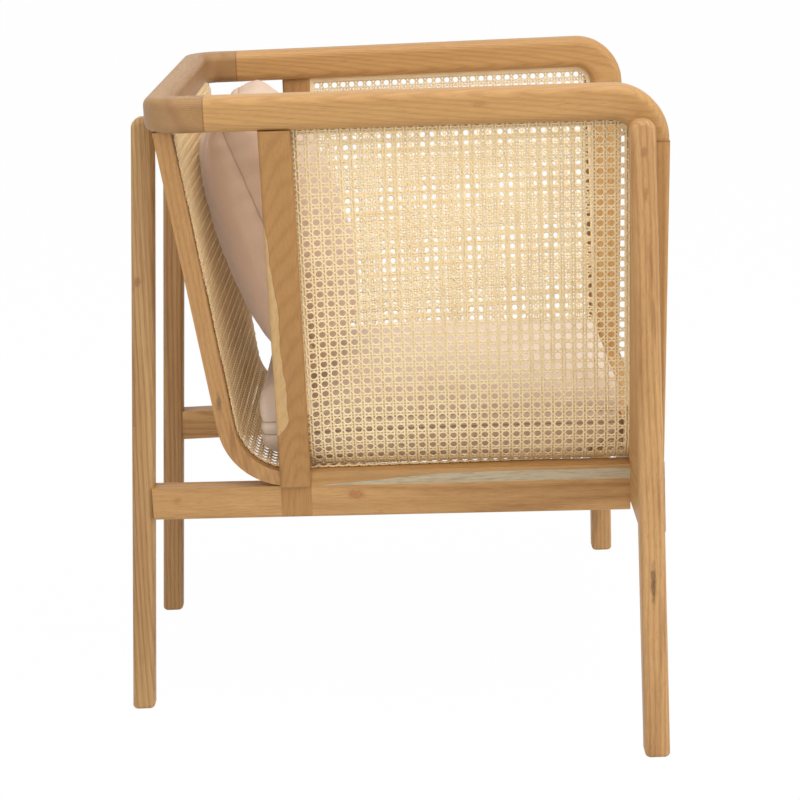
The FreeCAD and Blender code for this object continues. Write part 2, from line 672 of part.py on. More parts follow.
def make_seat_cushion():
    """The crowned seat cushion, with sides that draw in between its corners."""
    front = -value("seat_pad_front")
    rear = value("seat_pad_rear")
    half = value(f"{upright_half(SEAT_LEVEL + ' + seat_pad_edge / 2')} - upright_thick - seat_pad_gap")
    edge = value("seat_pad_edge")
    end = value("seat_pad_end")
    round_side = value("seat_pad_round")
    crown = value("seat_pad_crown")
    pull = value("seat_pad_pull")
    bow = value("pad_bow")
    floor = value(SEAT_LEVEL) + value("cane_thick") + value("rest_gap")
    heel_lift = value("seat_pad_lift")
    wires = []
    for row in range(CUSHION_ROWS):
        share = row / (CUSHION_ROWS - 1)
        swell = math.sin(math.pi * share)
        depth = front + (rear - front) * share
        reach = half - pull * swell
        tall = end + (edge - end) * swell ** 0.5
        shoulder = reach - round_side
        low = floor + heel_lift * (1 - swell) ** 3
        a = Vector(-shoulder, depth, low)
        b = Vector(shoulder, depth, low)
        c = Vector(shoulder, depth, low + tall)
        d = Vector(-shoulder, depth, low + tall)
        wires.append(arc_wire([
            (a, Vector(0, depth, low + bow * (1 - swell) + SLIGHT_BOW), b),
            (b, Vector(reach, depth, low + tall / 2), c),
            (c, Vector(0, depth, low + tall + crown * swell + bow), d),
            (d, Vector(-reach, depth, low + tall / 2), a),
        ]))
    cushion = doc.addObject("Part::Feature", "SeatCushion")
    cushion.Shape = Part.makeLoft(wires, True, False)
    cushion.Placement = FreeCAD.Placement()
    return finish("seat_cushion", cushion)


def settle(cushion, way, support):
    """Move a cushion along a direction until only the rest gap is left to its support."""
    for _ in range(8):
        slack = cushion.Shape.distToShape(support.Shape)[0] - value("rest_gap")
        if slack < 0.05:
            break
        cushion.Placement.move(way * slack)


def make_back_cushion(seat_cushion, shell_cane):
    """The leaning back cushion: a pillow with a thin seam and sides that draw in between its corners."""
    foot = f"{SEAT_LEVEL} + seat_pad_edge + seat_pad_crown / 2"
    half = value(f"{upright_half(foot)} - upright_thick - back_pad_gap")
    tall = value("back_pad_tall")
    thick = value("back_pad_thick")
    hem = value("back_pad_hem")
    full_side = value("back_pad_side")
    pull = value("back_pad_pull")
    bow = value("pad_bow")
    wires = []
    for row in range(CUSHION_ROWS):
        share = row / (CUSHION_ROWS - 1)
        swell = math.sin(math.pi * share)
        height = tall * share
        reach = half - pull * swell
        bulge = hem / 2 + (thick - hem) / 2 * swell ** PILLOW_FULLNESS
        side = hem / 2 + (full_side - hem) / 2 * swell
        a = Vector(-reach, -side, height)
        b = Vector(reach, -side, height)
        c = Vector(reach, side, height)
        d = Vector(-reach, side, height)
        wires.append(arc_wire([
            (a, Vector(0, -bulge - bow, height), b),
            (b, Vector(reach + bow, 0, height), c),
            (c, Vector(0, bulge + bow, height), d),
            (d, Vector(-reach - bow, 0, height), a),
        ]))
    cushion = doc.addObject("Part::Feature", "BackCushion")
    cushion.Shape = Part.makeLoft(wires, True, False)
    lean = FreeCAD.Rotation(ACROSS, -value("back_pad_lean"))
    seat_top = value(SEAT_LEVEL) + value("cane_thick") + value("seat_pad_edge") + value("seat_pad_crown")
    cushion.Placement = FreeCAD.Placement(Vector(0, value("back_pad_place"), seat_top), lean)
    settle(cushion, -UP, seat_cushion)
    settle(cushion, ALONG, shell_cane)
    settle(cushion, -UP, seat_cushion)
    return finish("back_cushion", cushion)


def build():
    """Make every sub-part in the order in which they fit together."""
    back_rail = make_back_rail()
    make_apron()
    uprights = []
    for word, side in SIDES:
        make_arm(word, side)
        make_front_leg(word, side)
        make_front_post(word, side)
        back_leg = make_back_leg(word, side, back_rail)
        lap = make_lap(word, side)
        rail_bar = make_side_rail(word, side, back_leg, lap)
        upright = make_upright(word, side)
        uprights.append(add_tongue(word, upright, lap, rail_bar))
        make_shell_side(word, side, uprights[-1])
        make_seat_strip(word, side)
        make_side_cane(word, side)
        make_side_spline(word, side)
    make_seat_bearer()
    shell_cane = make_shell_cane(uprights)
    make_back_cushion(make_seat_cushion(), shell_cane)
    doc.recompute()


def check_document():
    """Stop with a message if any object failed or any sub-part has no sound shape."""
    for item in doc.Objects:
        if "Invalid" in item.State or "Error" in item.State:
            raise RuntimeError(f"{item.Name} ({item.Label}) failed: {item.State}")
    for node in nodes:
        if node.Shape.isNull() or not node.Shape.isValid() or not node.Shape.Solids:
            raise RuntimeError(f"{node.Label} has no valid solid")


def export():
    """Write one file per sub-part."""
    os.makedirs("parts", exist_ok=True)
    for node in nodes:
        node.Shape.exportStep(f"parts/{node.Label}.step")
        print(node.Label, len(node.Shape.Solids), round(node.Shape.Volume), node.Shape.BoundBox)


build()
check_document()
export()
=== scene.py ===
"""Rattan armchair: wood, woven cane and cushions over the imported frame, in metres, +Z up, facing -Y."""
import logging
import math
from collections.abc import Callable, Mapping, Sequence
from dataclasses import dataclass, field
from enum import Enum

import bmesh
import bpy
from mathutils import Euler, Matrix, Vector, noise


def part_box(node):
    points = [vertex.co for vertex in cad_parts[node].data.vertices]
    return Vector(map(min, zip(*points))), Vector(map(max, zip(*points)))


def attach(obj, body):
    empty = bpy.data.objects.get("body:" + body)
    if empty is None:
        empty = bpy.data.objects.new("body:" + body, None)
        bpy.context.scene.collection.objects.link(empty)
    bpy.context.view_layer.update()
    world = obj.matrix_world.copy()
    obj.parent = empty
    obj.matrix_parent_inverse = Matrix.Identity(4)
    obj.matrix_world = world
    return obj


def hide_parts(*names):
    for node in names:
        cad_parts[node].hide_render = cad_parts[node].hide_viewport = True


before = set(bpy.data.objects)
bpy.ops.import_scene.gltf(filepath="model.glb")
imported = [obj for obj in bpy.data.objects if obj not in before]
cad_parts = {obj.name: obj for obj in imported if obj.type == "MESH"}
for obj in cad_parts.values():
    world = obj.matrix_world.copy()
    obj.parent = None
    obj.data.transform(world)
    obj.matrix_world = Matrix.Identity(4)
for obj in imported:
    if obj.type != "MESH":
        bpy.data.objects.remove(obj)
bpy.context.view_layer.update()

LOG = logging.getLogger("rattan_armchair")
SIDES = {"left": 1.0, "right": -1.0}
RAYS = ("Camera", "Glossy", "Transmission")
NO_MOVE = (0.0, 0.0, 0.0)
Colour = tuple[float, float, float]
WHITE: Colour = (1.0, 1.0, 1.0)


class Grain(Enum):
    """The axis that the fibres of a piece of wood run along, with the turn that brings it to X."""

    ACROSS = (0.0, 0.0, 0.0)
    ALONG = (0.0, 0.0, math.pi / 2)
    UP = (0.0, math.pi / 2, 0.0)


class Shade:
    """A shader socket that takes part in arithmetic: each operator adds one Math node."""

    def __init__(self, bench: "Bench", socket: bpy.types.NodeSocket) -> None:
        """Wrap a socket of a bench's node tree."""
        self.bench = bench
        self.socket = socket

    def _math(self, operation: str, first: "Shade | float", second: "Shade | float" = 0.0) -> "Shade":
        """Add a Math node.

        Args:
            operation: Math operation.
            first: First operand.
            second: Second operand.

        Returns:
            The result's socket.
        """
        return self.bench.add("ShaderNodeMath", {"operation": operation}, {0: first, 1: second})

    def __add__(self, other: "Shade | float") -> "Shade":
        """Add."""
        return self._math("ADD", self, other)

    __radd__ = __add__

    def __sub__(self, other: "Shade | float") -> "Shade":
        """Subtract."""
        return self._math("SUBTRACT", self, other)

    def __rsub__(self, other: "Shade | float") -> "Shade":
        """Subtract from a number."""
        return self._math("SUBTRACT", other, self)

    def __mul__(self, other: "Shade | float") -> "Shade":
        """Multiply."""
        return self._math("MULTIPLY", self, other)

    __rmul__ = __mul__

    def __truediv__(self, other: "Shade | float") -> "Shade":
        """Divide."""
        return self._math("DIVIDE", self, other)

    def __pow__(self, other: float) -> "Shade":
        """Raise to a power."""
        return self._math("POWER", self, other)

    def __abs__(self) -> "Shade":
        """Take the absolute value."""
        return self._math("ABSOLUTE", self)

    def wave(self) -> "Shade":
        """Return the sine, moved into 0 to 1."""
        return self._math("SINE", self) * 0.5 + 0.5

    def smallest(self, other: "Shade | float") -> "Shade":
        """Return the lesser of two values."""
        return self._math("MINIMUM", self, other)

    def largest(self, other: "Shade | float") -> "Shade":
        """Return the greater of two values."""
        return self._math("MAXIMUM", self, other)

    def ramp(self, low: float, high: float) -> "Shade":
        """Map low to 0 and high to 1 smoothly, and hold both ends."""
        return self.bench.add("ShaderNodeMapRange", {"interpolation_type": "SMOOTHSTEP"},
                              {"Value": self, "From Min": low, "From Max": high})


class Bench:
    """A material's node tree with one way to add a node."""

    def __init__(self, name: str) -> None:
        """Start a material with a principled shader."""
        self.material = bpy.data.materials.new(name)
        self.material.use_nodes = True
        self.tree = self.material.node_tree
        self.shader = self.tree.nodes["Principled BSDF"]

    def add(self, kind: str, settings: Mapping[str, object], inputs: Mapping[str | int, object],
            out: str | int = 0) -> Shade:
        """Add a node, set it up and link it.

        Args:
            kind: Node type.
            settings: Node properties, set first.
            inputs: Values or sockets by input name or number.
            out: Output to return.

        Returns:
            The chosen output.
        """
        node = self.tree.nodes.new(kind)
        for name, value in settings.items():
            setattr(node, name, value)
        for key, value in inputs.items():
            self.feed(node.inputs[key], value)
        return Shade(self, node.outputs[out])

    def feed(self, socket: bpy.types.NodeSocket, value: object) -> None:
        """Link a shade to a socket, or set a plain value.

        Args:
            socket: Input to feed.
            value: Shade, colour, vector or number.
        """
        if isinstance(value, Shade):
            self.tree.links.new(value.socket, socket)
        elif isinstance(value, (tuple, list)) and socket.type == "RGBA":
            socket.default_value = (*value, 1.0)
        else:
            socket.default_value = value

    def place(self, turn: Sequence[float] = NO_MOVE, shift: Sequence[float] = NO_MOVE,
              scale: Sequence[float] = (1.0, 1.0, 1.0)) -> Shade:
        """Return the object's own coordinates, turned, shifted and scaled.

        Args:
            turn: Turn about each axis.
            shift: Move along each axis.
            scale: Scale along each axis.

        Returns:
            The mapped coordinates.
        """
        spot = self.add("ShaderNodeTexCoord", {}, {}, "Object")
        return self.add("ShaderNodeMapping", {},
                        {"Vector": spot, "Rotation": turn, "Location": shift, "Scale": scale})

    def axes(self, vector: Shade) -> tuple[Shade, Shade, Shade]:
        """Split a vector into its three numbers.

        Args:
            vector: The vector.

        Returns:
            Its x, y and z.
        """
        first = self.add("ShaderNodeSeparateXYZ", {}, {0: vector})
        return tuple(Shade(self, output) for output in first.socket.node.outputs)

    def stretch(self, vector: Shade, scale: Sequence[float]) -> Shade:
        """Multiply a vector's three numbers by a scale."""
        return self.add("ShaderNodeVectorMath", {"operation": "MULTIPLY"}, {0: vector, 1: scale})

    def noise(self, vector: Shade, scale: float, detail: float = 3.0, rough: float = 0.55) -> Shade:
        """Return a noise value over a vector."""
        return self.add("ShaderNodeTexNoise", {},
                        {"Vector": vector, "Scale": scale, "Detail": detail, "Roughness": rough})

    def blend(self, factor: Shade | float, first: object, second: object) -> Shade:
        """Mix two colours by a factor."""
        return self.add("ShaderNodeMix", {"data_type": "RGBA"}, {0: factor, 6: first, 7: second}, 2)

    def seen(self) -> Shade:
        """Return 1 on the rays that show the pale background, and 0 on those that light the chair."""
        rays = [self.add("ShaderNodeLightPath", {}, {}, f"Is {ray} Ray") for ray in RAYS]
        return rays[0].largest(rays[1]).largest(rays[2])

    def dress(self, colour: object, roughness: object, height: Shade | None = None,
              depth: float = 0.0) -> None:
        """Feed the shader's colour and roughness, and its bump.

        Args:
            colour: Base colour.
            roughness: Roughness.
            height: Relief, or nothing for a smooth surface.
            depth: Depth of a relief of 1, in metres.
        """
        self.feed(self.shader.inputs["Base Color"], colour)
        self.feed(self.shader.inputs["Roughness"], roughness)
        if height is not None:
            bump = self.add("ShaderNodeBump", {}, {"Height": height, "Distance": depth, "Strength": 1.0})
            self.feed(self.shader.inputs["Normal"], bump)


class Sky(Bench):
    """The room's node tree, built in the same way."""

    def __init__(self, name: str) -> None:
        """Start a world with a plain background."""
        self.world = bpy.data.worlds.new(name)
        self.world.use_nodes = True
        self.tree = self.world.node_tree
        self.shader = self.tree.nodes["Background"]


@dataclass(frozen=True)
class Spot:
    """A round mark in the wood: a knot or a stain."""

    centre: Vector
    reach: Vector
    colour: Colour
    strength: float
    core: float = 0.25
    rings: float = 17.0
    ring_depth: float = 0.35
    wobble: float = 0.7
    wobble_scale: float = 130.0

    def stain(self, bench: Bench, colour: Shade) -> Shade:
        """Stain the wood's colour round the spot.

        Args:
            bench: The material being built.
            colour: Colour so far.

        Returns:
            The stained colour.
        """
        scale = tuple(1.0 / size for size in self.reach)
        shift = tuple(-place * factor for place, factor in zip(self.centre, scale))
        x, y, z = bench.axes(bench.place(shift=shift, scale=scale))
        wobble = bench.noise(bench.place(), self.wobble_scale, 2.0) - 0.5
        far = (x * x + y * y + z * z) ** 0.5 + wobble * self.wobble
        rings = (far * self.rings).wave() * self.ring_depth + (1.0 - self.ring_depth)
        return bench.blend(far.ramp(1.0, self.core) * rings * self.strength, colour, self.colour)


@dataclass(frozen=True)
class Streaks:
    """A noise drawn out along the fibres, whose band may be spread from 0 to 1."""

    along: float
    across: float
    detail: float = 2.0
    rough: float = 0.55
    band: tuple[float, float] | None = None

    def over(self, bench: Bench, spot: Shade) -> Shade:
        """Draw the streaks.

        Args:
            bench: The material being built.
            spot: Place in the wood, with the fibres along X.

        Returns:
            Their value.
        """
        drawn = bench.stretch(spot, (self.along, self.across, self.across))
        value = bench.noise(drawn, 1.0, self.detail, self.rough)
        return value if self.band is None else value.ramp(*self.band)


RING_WANDER = Streaks(1.7, 11.0)
RING_RIPPLE = Streaks(10.0, 75.0)
FIBRE = Streaks(13.0, 650.0, rough=0.6)
PORE = Streaks(40.0, 1500.0, 1.0, 0.5, (0.60, 0.72))
CLOUD = Streaks(1.5, 17.0, band=(0.30, 0.72))
VEIN = Streaks(1.3, 90.0, 3.0, 0.6, (0.54, 0.76))


@dataclass(frozen=True)
class Teak:
    """Oiled teak with growth rings, fibres and pores about a pith line, and its own marks."""

    name: str
    grain: Grain
    pith: Vector = Vector((0.05, 0.06, -0.05))
    tilt: tuple[float, float] = (0.02, 0.03)
    ring_gap: float = 0.0060
    wander: float = 0.014
    figure: float = 0.34
    pale: Colour = (0.490, 0.272, 0.094)
    deep: Colour = (0.330, 0.156, 0.046)
    streak: Colour = (0.210, 0.086, 0.028)
    streak_amount: float = 0.30
    spots: tuple[Spot, ...] = ()
    sapwood: Callable[[Bench], Shade] | None = None
    sapwood_colour: Colour = (0.540, 0.345, 0.150)
    sapwood_streak: float = 0.15
    sapwood_edge: float = 2.4
    sapwood_tone: float = 0.5
    sapwood_line: float = 0.6
    sapwood_band: tuple[float, float] = (0.48, 0.66)
    joint: tuple[int, float] | None = None
    joint_half: float = 0.0010
    joint_core: float = 0.0003
    joint_amount: float = 0.80
    ripple: float = 0.0016
    late_sharpness: float = 2.5
    late_amount: float = 0.34
    fibre_amount: float = 0.75
    pore_amount: float = 0.20
    roughness: float = 0.48
    fibre_roughness: float = 0.16
    pore_roughness: float = 0.10
    fibre_relief: float = 0.6
    pore_relief: float = 0.8
    relief: float = 0.00020
    specular: float = 0.35

    def rings(self, bench: Bench, spot: Shade) -> Shade:
        """Draw the dark late wood of the growth rings.

        Args:
            bench: The material being built.
            spot: Place in the wood, counted from the pith, with the fibres along X.

        Returns:
            The late wood's mask.
        """
        along, across, up = bench.axes(spot)
        across = across + along * self.tilt[0]
        up = up + along * self.tilt[1]
        wander = (RING_WANDER.over(bench, spot) - 0.5) * self.wander
        ripple = (RING_RIPPLE.over(bench, spot) - 0.5) * self.ripple
        radius = (across * across + up * up) ** 0.5 + wander + ripple
        return (radius * (2.0 * math.pi / self.ring_gap)).wave() ** self.late_sharpness

    def material(self, middle: Vector) -> bpy.types.Material:
        """Build the wood's material.

        Args:
            middle: Middle of the piece, which the pith line is counted from.

        Returns:
            The material.
        """
        bench = Bench(self.name)
        heart = Euler(self.grain.value).to_matrix() @ (middle + self.pith)
        spot = bench.place(self.grain.value, -heart)
        fibre, pore, vein = (streaks.over(bench, spot) for streaks in (FIBRE, PORE, VEIN))
        tone = self.rings(bench, spot) * self.late_amount + CLOUD.over(bench, spot) * self.figure
        tone = (tone + (fibre - 0.5) * self.fibre_amount).largest(0.0).smallest(1.0)
        colour = bench.blend(tone, self.pale, self.deep)
        colour = bench.blend(vein * self.streak_amount, colour, self.streak)
        if self.sapwood is not None:
            sap = self.sapwood(bench)
            fresh = bench.blend(tone * self.sapwood_tone, self.sapwood_colour, self.pale)
            lines = vein * self.sapwood_line + fibre.ramp(*self.sapwood_band) * self.sapwood_line
            lines = lines.smallest(1.0)
            fresh = bench.blend(lines * self.sapwood_streak, fresh, self.streak)
            colour = bench.blend(sap, colour, fresh)
            colour = bench.blend(sap * (1.0 - sap) * self.sapwood_edge, colour, self.streak)
        colour = bench.blend(pore * self.pore_amount, colour, self.streak)
        for mark in self.spots:
            colour = mark.stain(bench, colour)
        if self.joint is not None:
            axis, line = self.joint
            gap = abs(bench.axes(bench.place())[axis] - line).ramp(self.joint_half, self.joint_core)
            colour = bench.blend(gap * self.joint_amount, colour, self.streak)
        roughness = self.roughness + (fibre - 0.5) * self.fibre_roughness + pore * self.pore_roughness
        height = fibre * self.fibre_relief - pore * self.pore_relief
        bench.dress(colour, roughness, height, self.relief)
        bench.shader.inputs["Specular IOR Level"].default_value = self.specular
        return bench.material


@dataclass(frozen=True)
class Cane:
    """Peeled cane: pale straw with slight changes of tone from strand to strand."""

    name: str
    pale: Colour = (0.920, 0.745, 0.455)
    deep: Colour = (0.770, 0.550, 0.270)
    patch_scale: float = 34.0
    patch_band: tuple[float, float] = (0.30, 0.75)
    patch_amount: float = 0.30
    skin_scale: float = 420.0
    skin_band: tuple[float, float] = (0.35, 0.80)
    skin_amount: float = 0.34
    skin_roughness: float = 0.16
    roughness: float = 0.42
    relief: float = 0.00012

    def material(self) -> bpy.types.Material:
        """Build the cane's material.

        Returns:
            The material.
        """
        bench = Bench(self.name)
        patch = bench.noise(bench.place(), self.patch_scale, 2.0).ramp(*self.patch_band)
        skin = bench.noise(bench.place(), self.skin_scale, 3.0, 0.65).ramp(*self.skin_band)
        tone = patch * self.patch_amount + skin * self.skin_amount
        colour = bench.blend(tone, self.pale, self.deep)
        bench.dress(colour, self.roughness + skin * self.skin_roughness, skin, self.relief)
        return bench.material


@dataclass(frozen=True)
class Cloth:
    """Close-woven matt cloth."""

    name: str
    warp: Colour
    weft: Colour
    thread: float = 0.0015
    thread_relief: float = 0.7
    slub_scale: float = 160.0
    slub_draw: tuple[float, float, float] = (1.0, 1.0, 6.0)
    slub_relief: float = 0.6
    grain_amount: float = 0.30
    patch_scale: float = 9.0
    patch_band: tuple[float, float] = (0.25, 0.80)
    patch_amount: float = 0.22
    roughness: float = 0.86
    relief: float = 0.00030
    sheen: float = 0.25
    sheen_roughness: float = 0.5

    def material(self) -> bpy.types.Material:
        """Build the cloth's material.

        Returns:
            The material.
        """
        bench = Bench(self.name)
        weave = bench.noise(bench.place(), 1.0 / self.thread, 1.0)
        slub = bench.noise(bench.place(scale=self.slub_draw), self.slub_scale, 3.0)
        patch = bench.noise(bench.place(), self.patch_scale, 2.0).ramp(*self.patch_band)
        tone = weave * self.grain_amount + slub * self.grain_amount + patch * self.patch_amount
        colour = bench.blend(tone.smallest(1.0), self.warp, self.weft)
        height = weave * self.thread_relief + slub * self.slub_relief
        bench.dress(colour, self.roughness, height, self.relief)
        bench.shader.inputs["Sheen Weight"].default_value = self.sheen
        bench.shader.inputs["Sheen Roughness"].default_value = self.sheen_roughness
        return bench.material


def show(name: str, mesh: bpy.types.Mesh, finish: bpy.types.Material) -> bpy.types.Object:
    """Put a mesh into the scene.

    Args:
        name: Name of the piece.
        mesh: Its mesh, in the shared frame.
        finish: Its material.

    Returns:
        The new object.
    """
    piece = bpy.data.objects.new(name, mesh)
    bpy.context.scene.collection.objects.link(piece)
    mesh.materials.clear()
    mesh.materials.append(finish)
    for polygon in mesh.polygons:
        polygon.use_smooth = True
    LOG.info("%s: %d faces", name, len(mesh.polygons))
    return piece


def baked(piece: bpy.types.Object) -> bpy.types.Mesh:
    """Return the piece's mesh with its modifiers applied."""
    graph = bpy.context.evaluated_depsgraph_get()
    return bpy.data.meshes.new_from_object(piece.evaluated_get(graph))


def close_ends(mesh: bmesh.types.BMesh) -> None:
    """Close the open ends of a mesh's strands, each behind a sharp edge.

    Args:
        mesh: Mesh of open tubes.
    """
    rims = [edge for edge in mesh.edges if edge.is_boundary]
    for edge in rims:
        edge.smooth = False
    bmesh.ops.holes_fill(mesh, edges=rims, sides=0)
    bmesh.ops.recalc_face_normals(mesh, faces=mesh.faces)


@dataclass
class CaneWeave:
    """Octagonal cane weave: pairs both ways and a strand along each diagonal, one repeat laid out in rows."""

    strand: float = 0.158
    diagonal: float = 0.125
    pair: float = 0.138
    thick: float = 0.00085
    wave: float = 0.00050
    lift: float = 1.5
    under_share: float = 0.25
    merge: float = 0.0002

    def ribbon(self, mesh: bmesh.types.BMesh, path: Sequence[Vector], across: Vector, width: float) -> None:
        """Draw one strand along a path.

        Args:
            mesh: Mesh to add to.
            path: Points along the strand, in repeats and metres of height.
            across: Direction of the strand's width.
            width: Width in repeats.
        """
        half = across.normalized() * (width / 2)
        lift = Vector((0.0, 0.0, self.thick / 2))
        corners = [mesh.verts.new(path[0] + offset) for offset in (half, lift, -half, -lift)]
        edges = [mesh.edges.new((corners[index], corners[(index + 1) % 4])) for index in range(4)]
        for start, end in zip(path, path[1:]):
            grown = bmesh.ops.extrude_edge_only(mesh, edges=edges)["geom"]
            moved = [item for item in grown if isinstance(item, bmesh.types.BMVert)]
            edges = [item for item in grown if isinstance(item, bmesh.types.BMEdge)
                     and all(vertex in moved for vertex in item.verts)]
            bmesh.ops.translate(mesh, verts=moved, vec=end - start)

    def repeat(self) -> bpy.types.Mesh:
        """Draw one repeat of the weave.

        Returns:
            A unit square with the crossing of the pairs in its middle.
        """
        mesh = bmesh.new()
        low, high = -self.wave, self.wave
        for offset in (-self.pair, self.pair):
            middle = 0.5 + offset
            upright = [Vector((middle, step, lift)) for step, lift in ((0, low), (0.5, high), (1, low))]
            level = [Vector((step, middle, lift)) for step, lift in ((0, high), (0.5, low), (1, high))]
            self.ribbon(mesh, upright, Vector((1, 0, 0)), self.strand)
            self.ribbon(mesh, level, Vector((0, 1, 0)), self.strand)
        over, under = self.lift * self.wave, self.under_share * self.lift * self.wave
        for foot, head, way, foot_lift, head_lift in (
            ((0.5, 0.0), (1.0, 0.5), (1, -1, 0), -over, over),
            ((0.0, 0.5), (0.5, 1.0), (1, -1, 0), over, -over),
            ((0.5, 0.0), (0.0, 0.5), (1, 1, 0), under, -under),
            ((1.0, 0.5), (0.5, 1.0), (1, 1, 0), -under, under),
        ):
            slant = [Vector((*foot, foot_lift)), Vector((*head, head_lift))]
            self.ribbon(mesh, slant, Vector(way), self.diagonal)
        bmesh.ops.recalc_face_normals(mesh, faces=mesh.faces)
        cell = bpy.data.meshes.new("cane_repeat")
        mesh.to_mesh(cell)
        mesh.free()
        return cell

    def cloth(self, columns: int, rows: int) -> bpy.types.Mesh:
        """Lay the repeats out in columns and rows, with their strands joined.

        Args:
            columns: Repeats along X.
            rows: Repeats along Y.

        Returns:
            The flat weave, in repeats and metres of height.
        """
        maker = bpy.data.objects.new("cane_maker", self.repeat())
        bpy.context.scene.collection.objects.link(maker)
        for count, step in ((columns, (1.0, 0.0, 0.0)), (rows, (0.0, 1.0, 0.0))):
            array = maker.modifiers.new("repeat", "ARRAY")
            array.count = count
            array.use_relative_offset = False
            array.use_constant_offset = True
            array.constant_offset_displace = step
            array.use_merge_vertices = True
            array.merge_threshold = self.merge
        mesh = baked(maker)
        bpy.data.objects.remove(maker)
        return mesh

    def lay(self, columns: int, rows: int,
            surface: Callable[[float, float], tuple[Vector, Vector]]) -> bpy.types.Mesh:
        """Lay the weave over a surface.

        Args:
            columns: Repeats along the first direction.
            rows: Repeats along the second direction.
            surface: Gives the point and the normal at a place counted in repeats.

        Returns:
            The woven mesh in the shared frame.
        """
        mesh = self.cloth(columns, rows)
        for vertex in mesh.vertices:
            point, normal = surface(vertex.co.x, vertex.co.y)
            vertex.co = point + normal * vertex.co.z
        strands = bmesh.new()
        strands.from_mesh(mesh)
        close_ends(strands)
        strands.to_mesh(mesh)
        strands.free()
        return mesh


@dataclass
class CaneSide:
    """The woven side under an arm, leaning out and curling in over the seat strip at its foot."""

    side: str
    weave: CaneWeave
    columns: int
    rows: int
    rear: float = 0.093
    front: float = -0.281
    foot: float = 0.2975
    head: float = 0.7025
    foot_half: tuple[float, float] = (0.1945, 0.2125)
    head_half: tuple[float, float] = (0.2535, 0.2742)
    curl_depth: float = 0.0190
    curl_height: float = 0.050
    edge_sag: float = 0.0075
    sag_columns: float = 3.0
    sag_skew: float = 0.5
    tuck: float = 1.18

    def surface(self, column: float, row: float) -> tuple[Vector, Vector]:
        """Place a point of the weave.

        Args:
            column: Place along the weave, in repeats from the rear.
            row: Place up the weave, in repeats from the foot.

        Returns:
            The point and the outward normal there.
        """
        share = (column - self.tuck) / (self.columns - self.tuck)
        rise = min(max(row / self.rows, 0.0), 1.0)
        fade = math.exp(-max(column - 1.0, 0.0) / self.sag_columns)
        sag = self.edge_sag * fade * math.sin(math.pi * rise ** self.sag_skew)
        height = self.foot + (self.head - self.foot) * rise - sag
        low = self.foot_half[0] + (self.foot_half[1] - self.foot_half[0]) * share
        high = self.head_half[0] + (self.head_half[1] - self.head_half[0]) * share
        climb = (height - self.foot) / (self.head - self.foot)
        short = max(0.0, 1.0 - (height - self.foot) / self.curl_height)
        half = low + (high - low) * climb - self.curl_depth * short * short
        sign = SIDES[self.side]
        slope = (high - low) / (self.head - self.foot) + 2.0 * self.curl_depth * short / self.curl_height
        normal = Vector((sign, 0.0, -slope)).normalized()
        return Vector((sign * half, self.rear + (self.front - self.rear) * share, height)), normal

    def build(self, finish: bpy.types.Material) -> None:
        """Weave the side and put it in place of the plain sheet.

        Args:
            finish: The cane's material.
        """
        mesh = self.weave.lay(self.columns, self.rows, self.surface)
        piece = show(f"{self.side}_woven_side", mesh, finish)
        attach(piece, "frame")
        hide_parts(f"{self.side}_side_cane")


